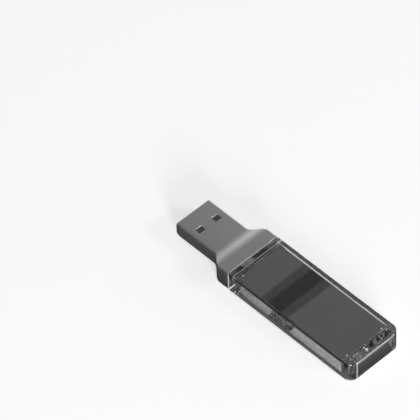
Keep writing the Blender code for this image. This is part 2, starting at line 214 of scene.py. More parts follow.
def tree_and_shader(material):
    tree = material.node_tree
    return tree, tree.nodes["Principled BSDF"]


def new_material(name):
    material = bpy.data.materials.new(name)
    material.use_nodes = True
    return material, *tree_and_shader(material)


def link(tree, source, target):
    tree.links.new(source, target)


def object_coordinates(tree, scale=(1.0, 1.0, 1.0)):
    """Object-space position, stretched so that grain can run along one axis."""
    place = tree.nodes.new("ShaderNodeTexCoord")
    mapping = tree.nodes.new("ShaderNodeMapping")
    mapping.inputs["Scale"].default_value = scale
    link(tree, place.outputs["Object"], mapping.inputs["Vector"])
    return mapping.outputs["Vector"]


def noise(tree, scale, detail=3.0, roughness=0.5, stretch=(1.0, 1.0, 1.0)):
    texture = tree.nodes.new("ShaderNodeTexNoise")
    texture.inputs["Scale"].default_value = scale
    texture.inputs["Detail"].default_value = detail
    texture.inputs["Roughness"].default_value = roughness
    link(tree, object_coordinates(tree, stretch), texture.inputs["Vector"])
    return texture.outputs["Fac"]


def ramp(tree, source, stops):
    """Colour ramp through (position, colour) stops."""
    node = tree.nodes.new("ShaderNodeValToRGB")
    elements = node.color_ramp.elements
    while len(elements) < len(stops):
        elements.new(0.5)
    for element, (position, colour) in zip(elements, stops):
        element.position = position
        element.color = (*colour, 1.0)
    link(tree, source, node.inputs["Fac"])
    return node.outputs["Color"]


def remap(tree, source, low, high):
    """Map 0..1 to low..high."""
    node = tree.nodes.new("ShaderNodeMapRange")
    node.inputs["To Min"].default_value = low
    node.inputs["To Max"].default_value = high
    link(tree, source, node.inputs["Value"])
    return node.outputs["Result"]


def bump(tree, shader, height, strength, distance):
    node = tree.nodes.new("ShaderNodeBump")
    node.inputs["Strength"].default_value = strength
    node.inputs["Distance"].default_value = distance
    link(tree, height, node.inputs["Height"])
    link(tree, node.outputs["Normal"], shader.inputs["Normal"])


def calculate(tree, operation, *values):
    """A Math node; each value is a number or a socket."""
    node = tree.nodes.new("ShaderNodeMath")
    node.operation = operation
    for socket, value in zip(node.inputs, values):
        if isinstance(value, (int, float)):
            socket.default_value = value
        else:
            link(tree, value, socket)
    return node.outputs["Value"]


def distance_from(tree, off_x, off_y):
    """How far a point lies from a round mark's middle, from its two offsets."""
    squares = [calculate(tree, "POWER", offset, 2.0) for offset in (off_x, off_y)]
    return calculate(tree, "SQRT", calculate(tree, "ADD", *squares))


def place_axes(tree, output="Object"):
    """The three coordinates of a point, as sockets."""
    place = tree.nodes.new("ShaderNodeTexCoord")
    parts = tree.nodes.new("ShaderNodeSeparateXYZ")
    link(tree, place.outputs[output], parts.inputs["Vector"])
    return parts.outputs["X"], parts.outputs["Y"], parts.outputs["Z"]


def span(tree, value, low, high, smooth=False):
    """0 below low, 1 above high."""
    node = tree.nodes.new("ShaderNodeMapRange")
    node.interpolation_type = "SMOOTHSTEP" if smooth else "LINEAR"
    node.inputs["From Min"].default_value = low
    node.inputs["From Max"].default_value = high
    link(tree, value, node.inputs["Value"])
    return node.outputs["Result"]


def mix_colour(tree, factor, a, b, blend="MIX"):
    """Blend of two colours, each a socket or a tuple, by a factor that is a socket or a number."""
    node = tree.nodes.new("ShaderNodeMix")
    node.data_type = "RGBA"
    node.blend_type = blend
    for name, value in (("Factor", factor), ("A", a), ("B", b)):
        if isinstance(value, (int, float)):
            node.inputs[name].default_value = value
        elif isinstance(value, tuple):
            node.inputs[name].default_value = (*value, 1.0)
        else:
            link(tree, value, node.inputs[name])
    return node.outputs["Result"]


def grained(name, dark, light, rough, metallic=0.0, scale=900.0, relief=0.01, stretch=(1, 1, 1)):
    """Base look: two near tones in a grain, with the grain in its roughness and a finer relief."""
    material, tree, shader = new_material(name)
    grain = noise(tree, scale, 4.0, 0.6, stretch)
    link(tree, ramp(tree, grain, ((0.35, dark), (0.65, light))), shader.inputs["Base Color"])
    link(tree, remap(tree, grain, rough[0], rough[1]), shader.inputs["Roughness"])
    shader.inputs["Metallic"].default_value = metallic
    bump(tree, shader, noise(tree, scale * 3.0, 2.0), 0.25, relief * MM)
    return material


# ---------------------------------------------------------------- materials


def let_light_through(tree, shader):
    """Shadow rays pass, so that the lights reach what is inside."""
    through = tree.nodes.new("ShaderNodeBsdfTransparent")
    through.inputs["Color"].default_value = (0.9, 0.9, 0.9, 1.0)
    path = tree.nodes.new("ShaderNodeLightPath")
    mix = tree.nodes.new("ShaderNodeMixShader")
    link(tree, path.outputs["Is Shadow Ray"], mix.inputs[0])
    link(tree, shader.outputs["BSDF"], mix.inputs[1])
    link(tree, through.outputs["BSDF"], mix.inputs[2])
    link(tree, mix.outputs["Shader"], tree.nodes["Material Output"].inputs["Surface"])


def clear_plastic(
    name, relief_scale, relief, clearness=1.0, rough=(0.01, 0.04), glow=0.0, tint=0.96
):
    """Clear acrylic, faintly tinted; what clearness leaves over is a milky haze."""
    material, tree, shader = new_material(name)
    shader.inputs["Base Color"].default_value = (tint, tint, tint, 1.0)
    shader.inputs["IOR"].default_value = 1.49
    shader.inputs["Transmission Weight"].default_value = clearness
    link(tree, remap(tree, noise(tree, 160.0, 3.0), *rough), shader.inputs["Roughness"])
    shader.inputs["Emission Color"].default_value = WHITE
    shader.inputs["Emission Strength"].default_value = glow
    bump(tree, shader, noise(tree, relief_scale, 2.0), 1.0, relief * MM)
    let_light_through(tree, shader)
    return material


def far_wall():
    """The far side's outer face: clear, with faintly hazy mottles."""
    material = clear_plastic("clear_far_side", 2000.0, 0.005, 1.0, (0.05, 0.12))
    tree, shader = tree_and_shader(material)
    mottles = ramp(tree, noise(tree, 1200.0, 2.0), greys(((0.4, 0.95), (0.6, 0.87))))
    link(tree, mottles, shader.inputs["Transmission Weight"])
    return material


def rear_face():
    """The rear end: clear, with a haze that fades downwards from its upper edge."""
    material = clear_plastic("clear_rear_face", 90.0, 0.002)
    tree, shader = tree_and_shader(material)
    upper = sleeve_high.z - TOP_LINE
    below = span(tree, place_axes(tree)[2], upper, upper - HAZE_DEPTH)
    haze = ramp(tree, below, greys(((0.0, 0.85), (0.6, 0.95), (0.75, 1.0))))
    link(tree, haze, shader.inputs["Transmission Weight"])
    return material


def cut_wall():
    """Wall left by the cutter that made the slot: thin frost on clear acrylic, and dark patches of
    painted shade.
    """
    material = clear_plastic("clear_cut_wall", 1100.0, 0.02)
    tree, shader = tree_and_shader(material)
    patches = noise(tree, 800.0, 3.0, 0.6)
    frost = ramp(tree, patches, greys(((0.56, 1.0), (0.6, 0.85), (0.64, 1.0))))
    link(tree, frost, shader.inputs["Transmission Weight"])
    # Painted shade: dark patches tinted into the clear wall
    tint = ramp(tree, patches, greys(((0.42, 0.05), (0.47, 0.96))))
    link(tree, tint, shader.inputs["Base Color"])
    return material


def painted_highlight(name, dark, light, glow):
    """Painted highlight on an edge of the acrylic: a light grey frosted colour that shows as a bright
    line, with a little painted glow of its own.
    """
    material = grained(name, grey(dark), grey(light), (0.35, 0.55), scale=2200.0)
    tree, shader = tree_and_shader(material)
    shader.inputs["Emission Color"].default_value = WHITE
    shader.inputs["Emission Strength"].default_value = glow
    let_light_through(tree, shader)
    return material


def satin_metal():
    return grained(
        "satin_metal", grey(0.81), grey(0.89), (0.30, 0.38), metallic=1.0, scale=1400.0, relief=0.004
    )


def lit_inside(tree, shader, glow):
    """Further in than the gold: a faint glow for the light that scatters inside the plug."""
    gold_end = X_TIP + GOLD_LENGTH
    inside = span(tree, place_axes(tree)[0], gold_end, gold_end + GOLD_FADE)
    link(tree, mix_colour(tree, inside, grey(0.0), grey(glow)), shader.inputs["Emission Color"])
    shader.inputs["Emission Strength"].default_value = 1.0
    return inside


def plated_contact():
    """Contact strip: gold plated where it touches, nickel plated further in."""
    material, tree, shader = new_material("contact_plating")
    grain = noise(tree, 1600.0, 4.0, 0.6, (1, 6, 6))
    gold = ramp(tree, grain, ((0.35, (0.78, 0.52, 0.16)), (0.65, (0.9, 0.66, 0.26))))
    inside = lit_inside(tree, shader, 0.035)
    link(tree, mix_colour(tree, inside, gold, grey(0.55)), shader.inputs["Base Color"])
    link(tree, remap(tree, grain, 0.2, 0.3), shader.inputs["Roughness"])
    shader.inputs["Metallic"].default_value = 1.0
    bump(tree, shader, grain, 0.2, 0.01 * MM)
    return material


def black_nylon():
    material = grained("black_nylon", grey(0.03), grey(0.05), (0.4, 0.5))
    lit_inside(*tree_and_shader(material), 0.05)
    return material


def band_colour(tree, x):
    """Smoke grey with the darker band across it."""
    return ramp(tree, span(tree, x, BAND_FRONT, BAND_REAR), greys(BAND_TONES))


def on_rim(tree, z, top):
    """1 on the upper and lower faces of a piece of the core, 0 elsewhere."""
    height = calculate(tree, "ABSOLUTE", calculate(tree, "SUBTRACT", z, Z_MID))
    return span(tree, height, top - Z_MID - SKIN, top - Z_MID - TOUCH)


def painted_glint_dots(tree, x, y):
    """1 on the painted glint dots at the panel's two near corners and its far rear corner, 0 elsewhere.
    """
    from_middle = calculate(tree, "ABSOLUTE", calculate(tree, "SUBTRACT", x, GLINT_DOT_MIDDLE))
    off_x = calculate(tree, "SUBTRACT", from_middle, GLINT_DOT_REACH)
    off_y = calculate(tree, "SUBTRACT", calculate(tree, "ABSOLUTE", y), GLINT_DOT_Y)
    distance = distance_from(tree, off_x, off_y)
    glint_dot = calculate(tree, "SUBTRACT", 1.0, span(tree, distance, 0.7 * GLINT_DOT_RADIUS, GLINT_DOT_RADIUS))
    near = calculate(tree, "LESS_THAN", y, 0.0)
    rear = calculate(tree, "GREATER_THAN", x, GLINT_DOT_MIDDLE)
    return calculate(tree, "MULTIPLY", glint_dot, calculate(tree, "MAXIMUM", near, rear))


def smoke_panel():
    """Smoke-grey film with a darker band, and painted glints as light, faintly glowing dots at three of
    its corners.
    """
    material, tree, shader = new_material("smoke_panel")
    x, y, z = place_axes(tree)
    grain = noise(tree, 2500.0, 2.0)
    grains = ramp(tree, grain, greys(((0.3, 0.85), (0.7, 1.0))))
    colour = mix_colour(tree, 1.0, band_colour(tree, x), grains, "MULTIPLY")
    # Painted glints: light base colour and a painted glow on the dots
    glint_dot = painted_glint_dots(tree, x, y)
    link(tree, mix_colour(tree, glint_dot, colour, grey(0.9)), shader.inputs["Base Color"])
    link(tree, mix_colour(tree, glint_dot, grey(0.0), grey(0.45)), shader.inputs["Emission Color"])
    shader.inputs["Emission Strength"].default_value = 1.0
    link(tree, remap(tree, noise(tree, 700.0), 0.4, 0.55), shader.inputs["Roughness"])
    shader.inputs["Specular IOR Level"].default_value = 0.15
    bump(tree, shader, calculate(tree, "ADD", grain, glint_dot), 0.2, 0.01 * MM)
    return material


def painted_rear_reflections(tree, y, z):
    """Painted reflections: uneven streaks of painted highlight and painted dark that lean across the
    tray's rear end.
    """
    rise = calculate(tree, "MULTIPLY", calculate(tree, "SUBTRACT", z, Z_MID), REAR_REFLECTION_SLANT)
    leaning = calculate(tree, "ADD", y, rise)
    across = span(tree, leaning, REAR_REFLECTION_MIDDLE - HALF_WIDTH, REAR_REFLECTION_MIDDLE + HALF_WIDTH)
    swirl = calculate(tree, "SUBTRACT", noise(tree, 1500.0, 3.0), 0.5)
    swirl = calculate(tree, "MULTIPLY", swirl, REAR_REFLECTION_SWIRL)
    return ramp(tree, calculate(tree, "ADD", across, swirl), greys(REAR_REFLECTION_TONES))


def tray_moulding():
    """Dark speckled moulding; its rims carry on the panels' band, and its rear end carries slanted
    painted reflections.
    """
    material, tree, shader = new_material("tray_moulding")
    grain = noise(tree, 2000.0, 2.0, 0.6)
    speckle = ramp(tree, grain, greys(((0.42, 0.0), (0.5, 0.06), (0.58, 0.5))))
    x, y, z = place_axes(tree)
    speckle = mix_colour(tree, on_rim(tree, z, tray_high.z), speckle, band_colour(tree, x))
    at_rear = span(tree, x, tray_high.x - SKIN, tray_high.x - TOUCH)
    # Painted reflections: streaks of painted highlight and painted dark on the rear end
    colour = mix_colour(tree, at_rear, speckle, painted_rear_reflections(tree, y, z))
    link(tree, colour, shader.inputs["Base Color"])
    link(tree, remap(tree, grain, 0.45, 0.6), shader.inputs["Roughness"])
    shader.inputs["Specular IOR Level"].default_value = 0.1
    bump(tree, shader, grain, 0.25, 0.01 * MM)
    return material


def marked_epoxy():
    """Moulded epoxy with a round moulding mark in one corner of the top."""
    material, tree, shader = new_material("chip_epoxy")
    x, y, z = place_axes(tree, "Generated")
    dimple = span(tree, distance_from(
        tree, calculate(tree, "SUBTRACT", x, MARK_PLACE), calculate(tree, "SUBTRACT", y, MARK_PLACE)
    ), 0.05, 0.07)
    grain = noise(tree, 2600.0, 4.0)
    tone = ramp(tree, grain, greys(((0.35, 0.014), (0.65, 0.03))))
    link(tree, mix_colour(tree, dimple, grey(0.06), tone), shader.inputs["Base Color"])
    link(tree, remap(tree, dimple, 0.3, 0.55), shader.inputs["Roughness"])
    relief = calculate(tree, "ADD", dimple, calculate(tree, "MULTIPLY", grain, 0.2))
    bump(tree, shader, relief, 0.6, 0.03 * MM)
    return material


def tinned_chip(name, dark, light):
    """Ceramic body whose two ends are tinned."""
    material = grained(name, dark, light, (0.4, 0.55), scale=3200.0)
    tree, shader = tree_and_shader(material)
    x = place_axes(tree, "Generated")[0]
    end = span(tree, calculate(tree, "ABSOLUTE", calculate(tree, "SUBTRACT", x, 0.5)), 0.3, 0.31)
    body = shader.inputs["Base Color"].links[0].from_socket
    link(tree, mix_colour(tree, end, body, grey(0.62)), shader.inputs["Base Color"])
    link(tree, end, shader.inputs["Metallic"])
    return material


def led_package():
    """White package with a round yellow phosphor lens in the middle of its top."""
    material, tree, shader = new_material("led_package")
    x, y, z = place_axes(tree, "Generated")
    lens = span(tree, distance_from(
        tree, calculate(tree, "SUBTRACT", x, 0.5), calculate(tree, "SUBTRACT", y, 0.5)
    ), 0.27, 0.33)
    grain = noise(tree, 4000.0, 3.0)
    white = ramp(tree, grain, greys(((0.3, 0.72), (0.7, 0.86))))
    link(tree, mix_colour(tree, lens, (0.85, 0.68, 0.2), white), shader.inputs["Base Color"])
    link(tree, remap(tree, lens, 0.15, 0.45), shader.inputs["Roughness"])
    bump(tree, shader, lens, 0.5, 0.03 * MM)
    return material


def board_mask():
    """Black solder mask over a raised pattern of traces."""
    material, tree, shader = new_material("board_mask")
    waves = tree.nodes.new("ShaderNodeTexWave")
    waves.bands_direction = "Y"
    waves.inputs["Scale"].default_value = 500.0
    waves.inputs["Distortion"].default_value = 1.5
    waves.inputs["Detail Scale"].default_value = 0.5
    link(tree, object_coordinates(tree), waves.inputs["Vector"])
    trace = span(tree, waves.outputs["Fac"], 0.55, 0.65)
    grain = noise(tree, 1500.0, 3.0)
    mask = ramp(tree, grain, greys(((0.35, 0.01), (0.65, 0.022))))
    link(tree, mask, shader.inputs["Base Color"])
    link(tree, remap(tree, grain, 0.3, 0.4), shader.inputs["Roughness"])
    bump(tree, shader, trace, 0.5, 0.035 * MM)
    return material


def frosted_guide():
    """Frosted light guide; its top and bottom, beside the film panels, carry on their band."""
    material, tree, shader = new_material("frosted_guide")
    grain = noise(tree, 2300.0, 2.0, 0.6)
    frost = ramp(tree, grain, greys(((0.44, 0.46), (0.56, 0.78))))
    x, y, z = place_axes(tree)
    colour = mix_colour(tree, on_rim(tree, z, GUIDE_TOP), frost, band_colour(tree, x))
    link(tree, colour, shader.inputs["Base Color"])
    link(tree, remap(tree, grain, 0.55, 0.75), shader.inputs["Roughness"])
    bump(tree, shader, grain, 0.25, 0.02 * MM)
    return material


def paint(node_name, material):
    """Give a node of the part its material."""
    slots = nodes[node_name].data.materials
    if len(slots) == 0:
        slots.append(material)
    for index in range(len(slots)):
        slots[index] = material


# ---------------------------------------------------------------- mesh helpers


def box(low, high):
    bm = bmesh.new()
    bmesh.ops.create_cube(bm, size=1.0)
    low, high = Vector(low), Vector(high)
    for vertex in bm.verts:
        vertex.co = Vector(
            low[axis] + (vertex.co[axis] + 0.5) * (high[axis] - low[axis]) for axis in range(3)
        )
    return bm


def round_where(bm, test, radius, segments):
    """Round the edges whose middle and direction pass a test."""
    found = []
    for edge in bm.edges:
        a, b = edge.verts[0].co, edge.verts[1].co
        if test((a + b) / 2, (b - a).normalized()):
            found.append(edge)
    bmesh.ops.bevel(bm, geom=found, offset=radius, segments=segments, profile=0.5, affect="EDGES")


def is_standing(middle, way):
    return abs(way.z) > 0.99


def to_object(name, bm, material=None, sharp=35):
    mesh = bpy.data.meshes.new(name)
    bm.to_mesh(mesh)
    bm.free()
    mesh.shade_smooth()
    mesh.set_sharp_from_angle(angle=radians(sharp))
    if material:
        mesh.materials.append(material)
    piece = bpy.data.objects.new(name, mesh)
    bpy.context.scene.collection.objects.link(piece)
    return piece


def subtract(bm, cutters):
    """The bmesh with the cutters taken away."""
    body = to_object("body", bm)
    tools = [to_object("tool", cutter) for cutter in cutters]
    for tool in tools:
        boolean = body.modifiers.new("cut", "BOOLEAN")
        boolean.solver = "EXACT"
        boolean.object = tool
    graph = bpy.context.evaluated_depsgraph_get()
    cut = bmesh.new()
    cut.from_mesh(body.evaluated_get(graph).to_mesh())
    for used in [body] + tools:
        bpy.data.objects.remove(used, do_unlink=True)
    return cut


# ---------------------------------------------------------------- pieces


def is_painted_rear_highlight(middle, normal):
    """The narrow faces at the rear that carry painted highlights as thin lines."""
    on_rear = middle.x > X_REAR - EDGE_RADIUS
    over = on_rear and middle.z > sleeve_high.z - TOP_LINE and normal.z < 0.85
    tangent = middle.y - (REAR_CORNER - HALF_WIDTH)
    upright = on_rear and abs(normal.z) < 0.1 and -TANGENT_LINE < tangent < 0.0
    return upright or (over and abs(middle.y) < HALF_WIDTH - REAR_CORNER)


def is_painted_highlight_line(middle, normal):
    """The rim at the joint, the recess's upper front edge and the hollow's upper far one, which carry
    painted highlight lines.
    """
    rim = middle.x < X_JOINT + FRONT_RIM and -0.98 < normal.x < -0.2
    in_ceiling = CEILING - CAVITY_EDGE < middle.z < CEILING + TINY
    far_line = (
        FAR_LINE_INNER < middle.y < HALF_WIDTH - MM
        and FAR_LINE_FRONT < middle.x < FAR_LINE_REAR and abs(normal.x) < 0.5
    )
    recess_line = RECESS_FRONT - TOUCH < middle.x < RECESS_FRONT + CAVITY_EDGE
    return rim or (in_ceiling and (far_line or recess_line))


def is_painted_foot_highlight(middle, normal):
    """The block's lower front edge and its near upright one, painted as the brightest highlight lines
    of all.
    """
    at_front = middle.x < X_JOINT + FRONT_RIM
    low = middle.z < sleeve_low.z + FRONT_RIM and normal.z < -0.1 and abs(normal.y) < 0.5
    upright = normal.y < -0.3 and normal.x < -0.3
    on_near_side = middle.y < TOUCH - HALF_WIDTH and normal.y < -0.9
    beside = on_near_side and middle.x < X_JOINT + NEAR_LINE
    return beside or (at_front and (low or upright))


def is_glint(middle, normal):
    """Short stretches of the top edge at the rear corners, painted as glints."""
    on_top_edge = middle.z > sleeve_high.z - EDGE_RADIUS and 0.2 < normal.z < 0.97
    start = HALF_WIDTH - REAR_CORNER
    beside_line = start < abs(middle.y) < start + GLINT_SPAN
    on_corner = CORNER_GLINT < -middle.y < CORNER_GLINT + CORNER_GLINT_SPAN
    at_rear = middle.x > X_REAR - REAR_CORNER
    return on_top_edge and at_rear and (beside_line or on_corner)


def is_recess_painted_shade(middle, normal):
    """The recess's floor and the hollow's front edges, made dark and cloudy as painted shade."""
    floor = abs(middle.z - RECESS_LOW) < TOUCH and normal.z > 0.9 and middle.x < CAVITY_FRONT
    within_sides = abs(middle.y) < HALF_WIDTH - 0.5 * SIDE_WALL
    within_height = abs(middle.z - Z_MID) < HALF_HEIGHT - 0.5 * FLOOR_WALL
    at_front = abs(middle.x - CAVITY_FRONT) < CAVITY_EDGE + 0.05 * MM
    return floor or (within_sides and within_height and at_front)


def is_rear_face(middle, normal):
    return middle.x > X_REAR - TOUCH and normal.x > 0.99


def is_hollow_rim_painted_shade(middle, normal):
    """The hollow's long near edges, tinted darker as painted shade."""
    inside = -HOLLOW_HALF_WIDTH - TOUCH < middle.y < CAVITY_EDGE - HOLLOW_HALF_WIDTH
    return inside and 0.15 < abs(normal.z) < 0.98


def is_cut_wall(middle, normal):
    """The slot's front and end walls."""
    along = SLOT_FRONT - TOUCH < middle.x < X_REAR - 0.5 * SLOT_REAR_BAR
    across = abs(middle.y) < SLOT_LENGTH / 2 + TOUCH
    return along and across and abs(normal.z) < 0.9 and normal.x > -0.9


def is_hollow_side(middle, normal):
    return abs(abs(middle.y) - HOLLOW_HALF_WIDTH) < TOUCH and abs(normal.y) > 0.9


def is_far_side(middle, normal):
    return normal.y > 0.5 and middle.y > HALF_WIDTH - EDGE_RADIUS


def is_painted_dark_rim(middle, normal):
    """The long near top edge, tinted near black as a painted dark line of shade."""
    return middle.y < EDGE_RADIUS - HALF_WIDTH and normal.z > 0.15 and normal.y < -0.15


def is_near_side(middle, normal):
    return middle.y < TOUCH - HALF_WIDTH and normal.y < -0.99


def is_front(middle, normal):
    return normal.x < -0.9 and middle.x < X_JOINT + TOUCH


def is_bottom(middle, normal):
    return normal.z < -0.9 and middle.z < sleeve_low.z + TOUCH


def is_ceiling(middle, normal):
    return abs(middle.z - CEILING) < TOUCH and normal.z < -0.99


# A face takes the first look whose test it passes, and plain clear plastic if it passes none
SLEEVE_LOOKS = (
    is_painted_foot_highlight, is_painted_rear_highlight, is_painted_highlight_line, is_cut_wall, is_hollow_side, is_far_side,
    is_front, is_bottom, is_glint, is_painted_dark_rim, is_recess_painted_shade, is_hollow_rim_painted_shade, is_rear_face,
)


def split(bm, axis, place, test):
    """Cut the faces that pass a test by a plane across an axis."""
    faces = [face for face in bm.faces if test(face.calc_center_median(), face.normal)]
    around = list(dict.fromkeys(edge for face in faces for edge in face.edges))
    corners = list(dict.fromkeys(vertex for face in faces for vertex in face.verts))
    middle, normal = Vector(), Vector()
    middle[axis] = place
    normal[axis] = 1.0
    bmesh.ops.bisect_plane(bm, geom=faces + around + corners, plane_co=middle, plane_no=normal)


def outer_block():
    """The sleeve's block, with round rear corners and softened long edges."""
    bm = box(sleeve_low, sleeve_high)
    round_where(
        bm, lambda middle, way: is_standing(middle, way) and middle.x > X_JOINT + MM,
        REAR_CORNER, 20,
    )
    round_where(
        bm, lambda middle, way: abs(way.z) < 0.1 and middle.x > X_JOINT + 0.1 * MM,
        EDGE_RADIUS, 8,
    )
    return bm


def core_hollow():
    bm = box(
        (CAVITY_FRONT, -HOLLOW_HALF_WIDTH, Z_MID - HOLLOW_HALF_HEIGHT),
        (CAVITY_REAR, HOLLOW_HALF_WIDTH, Z_MID + HOLLOW_HALF_HEIGHT),
    )
    round_where(bm, lambda middle, way: True, CAVITY_EDGE, 5)
    return bm


def collar_recess():
    """The shallow recess in front of the hollow's upper half."""
    bm = box(
        (RECESS_FRONT, -HOLLOW_HALF_WIDTH, RECESS_LOW),
        (CAVITY_FRONT + 2 * MM, HOLLOW_HALF_WIDTH, Z_MID + HOLLOW_HALF_HEIGHT),
    )
    round_where(bm, lambda middle, way: middle.x < CAVITY_FRONT, CAVITY_EDGE, 5)
    round_where(
        bm, lambda middle, way: abs(way.x) > 0.99 and middle.z > Z_MID + MM, CAVITY_EDGE, 5
    )
    return bm


def board_passage():
    return box(
        (X_JOINT - MM, -BOARD_SLOT_HALF_WIDTH, BOARD_SLOT_LOW),
        (CAVITY_FRONT + MM, BOARD_SLOT_HALF_WIDTH, BOARD_SLOT_TOP),
    )


def latch_pocket():
    return box((X_JOINT - MM, *(latch_low - LATCH_GAP).yz), latch_high + LATCH_GAP)


def lanyard_slot():
    """Pill-shaped cutter for the slot at the rear."""
    bm = box(
        (SLOT_FRONT, -SLOT_LENGTH / 2, -MM), (SLOT_REAR, SLOT_LENGTH / 2, sleeve_high.z + MM)
    )
    round_where(bm, is_standing, 0.495 * SLOT_WIDTH, 16)
    return bm


def is_slot_rim(middle, way):
    on_face = min(abs(middle.z - sleeve_low.z), abs(middle.z - sleeve_high.z)) < TOUCH
    along = SLOT_FRONT - TOUCH < middle.x < SLOT_REAR + TOUCH
    return on_face and along and abs(middle.y) < SLOT_LENGTH / 2 + TOUCH


def is_front_rim(middle, way):
    outermost = max(abs(middle.y) / HALF_WIDTH, abs(middle.z - Z_MID) / HALF_HEIGHT)
    return abs(middle.x - X_JOINT) < TOUCH and outermost > 0.97


def give_looks(bm):
    """Cut the faces where their look changes, and give each its material."""
    bm.normal_update()
    for axis, place in ((1, FAR_LINE_INNER), (0, FAR_LINE_FRONT), (0, FAR_LINE_REAR)):
        split(bm, axis, place, is_ceiling)
    split(bm, 2, sleeve_high.z - TOP_LINE, is_rear_face)
    split(bm, 0, X_JOINT + NEAR_LINE, is_near_side)
    bm.normal_update()
    for face in bm.faces:
        middle = face.calc_center_median()
        for index, test in enumerate(SLEEVE_LOOKS, start=1):
            if test(middle, face.normal):
                face.material_index = index
                break


def make_sleeve(materials):
    """Clear block with a hollow for the core and a lanyard slot; every edge is softened."""
    cutters = [core_hollow(), collar_recess(), board_passage(), latch_pocket(), lanyard_slot()]
    bm = subtract(outer_block(), cutters)
    bmesh.ops.remove_doubles(bm, verts=bm.verts, dist=TINY)
    bmesh.ops.dissolve_limit(bm, angle_limit=radians(0.2), verts=bm.verts, edges=bm.edges)
    round_where(bm, is_slot_rim, SLOT_RIM, 4)
    round_where(bm, is_front_rim, FRONT_RIM, 4)
    give_looks(bm)
    piece = to_object("clear_sleeve_body", bm)
    for material in materials:
        piece.data.materials.append(material)
    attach(piece, "root")
    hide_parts("clear_sleeve")


def section(x, half_width, low, high, radius, arc_steps):
    """A rectangle with round corners, across the stick at x."""
    points = []
    corners = (
        (half_width - radius, high - radius, 0.0),
        (radius - half_width, high - radius, pi / 2),
        (radius - half_width, low + radius, pi),
        (half_width - radius, low + radius, 1.5 * pi),
    )
    for centre_y, centre_z, start in corners:
        for step in range(arc_steps + 1):
            turn = start + step / arc_steps * pi / 2
            points.append((x, centre_y + radius * cos(turn), centre_z + radius * sin(turn)))
    return points


def nose_sections(from_tip, arc_steps=8):
    """The outer and the inner outline of the nose at a distance from its tip."""
    swell = min(1.0, max(0.0, (from_tip - SWELL_START) / (SWELL_END - SWELL_START)))
    swell = swell * swell * (3.0 - 2.0 * swell)
    half_width = PLUG_WIDTH / 2 + swell * (HALF_WIDTH - PLUG_WIDTH / 2)
    half_height = PLUG_HEIGHT / 2 + swell * (HALF_HEIGHT - PLUG_HEIGHT / 2)
    corner = PLUG_CORNER + swell * (NECK_CORNER - PLUG_CORNER)
    wall = PLUG_WALL + swell * (NECK_WALL - PLUG_WALL)
    turned = max(0.0, LIP_RADIUS * sin(LIP_TURN) - from_tip) / LIP_RADIUS
    lip_cosine = (1.0 - turned * turned) ** 0.5
    low = Z_MID - half_height + LIP_RADIUS * (1.0 - lip_cosine)
    high = Z_MID + half_height
    x = X_TIP + from_tip
    outer = section(x, half_width, low, high, corner, arc_steps)
    inner = section(
        x, half_width - wall, low + wall / lip_cosine, high - wall,
        max(corner - wall, INNER_CORNER), arc_steps,
    )
    return outer, inner


def is_window_wall(middle, normal):
    """The cut edges round the four retention windows."""
    along = -TOUCH < middle.x - X_TIP - WINDOW_FRONT < WINDOW_LENGTH + TOUCH
    across = WINDOW_INNER - TOUCH < abs(middle.y) < WINDOW_OUTER + TOUCH
    return along and across and abs(normal.z) < 0.5


def nose_stations(swell_steps=28, lip_steps=10):
    """Distances from the tip of the nose's sections: close together where it curves."""
    lip_length = LIP_RADIUS * sin(LIP_TURN)
    stations = [lip_length * step / lip_steps for step in range(lip_steps + 1)]
    stations += [WINDOW_FRONT - MM, WINDOW_FRONT + WINDOW_LENGTH + MM, SWELL_START]
    for step in range(1, swell_steps + 1):
        stations.append(SWELL_START + (SWELL_END - SWELL_START) * step / swell_steps)
    return stations + [nose_high.x - X_TIP]


def window_cutter(side):
    """Cutter for the upper and the lower window of one side."""
    near, far = sorted((side * WINDOW_INNER, side * WINDOW_OUTER))
    front = X_TIP + WINDOW_FRONT
    bm = box((front, near, -MM), (front + WINDOW_LENGTH, far, sleeve_high.z + MM))
    round_where(bm, is_standing, WINDOW_CORNER, 4)
    return bm


def make_nose(metal, cut_edge):
    """Plug shell and neck drawn from one piece of metal."""
    bm = bmesh.new()
    outer_rows, inner_rows = [], []
    for station in nose_stations():
        outer, inner = nose_sections(station)
        outer_rows.append([bm.verts.new(point) for point in outer])
        inner_rows.append([bm.verts.new(point) for point in inner])
    rows = outer_rows + inner_rows[::-1]
    count = len(rows[0])
    for index, row in enumerate(rows):
        following = rows[(index + 1) % len(rows)]
        for side in range(count):
            after = (side + 1) % count
            bm.faces.new((row[side], row[after], following[after], following[side]))
    bmesh.ops.recalc_face_normals(bm, faces=bm.faces)

    bm = subtract(bm, [window_cutter(-1), window_cutter(1)])
    bm.normal_update()
    for face in bm.faces:
        face.material_index = int(is_window_wall(face.calc_center_median(), face.normal))
    piece = to_object("nose_shell_body", bm, metal)
    piece.data.materials.append(cut_edge)
    soften = piece.modifiers.new("edges", "BEVEL")
    soften.width = CUT_SOFTNESS
    soften.segments = 2
    soften.limit_method = "ANGLE"
    soften.angle_limit = radians(40)
    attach(piece, "root")
    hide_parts("nose_shell")


# ---------------------------------------------------------------- stage, light, camera


def contact_shade(tree):
    """The floor as the object reflects it: grey, and darker right under the sleeve."""
    x, y, z = place_axes(tree)
    beside = span(tree, calculate(tree, "ABSOLUTE", y), HALF_WIDTH, HALF_WIDTH + SHADE_EDGE, True)
    behind = span(tree, x, X_REAR, X_REAR + SHADE_EDGE, True)
    under = span(tree, x, SHADE_FRONT - SHADE_EDGE, SHADE_FRONT, True)
    ahead = calculate(tree, "SUBTRACT", 1.0, under)
    outside = calculate(tree, "MAXIMUM", calculate(tree, "MAXIMUM", beside, behind), ahead)
    return ramp(tree, outside, greys(((0.0, FLOOR_UNDER), (1.0, FLOOR_AROUND))))


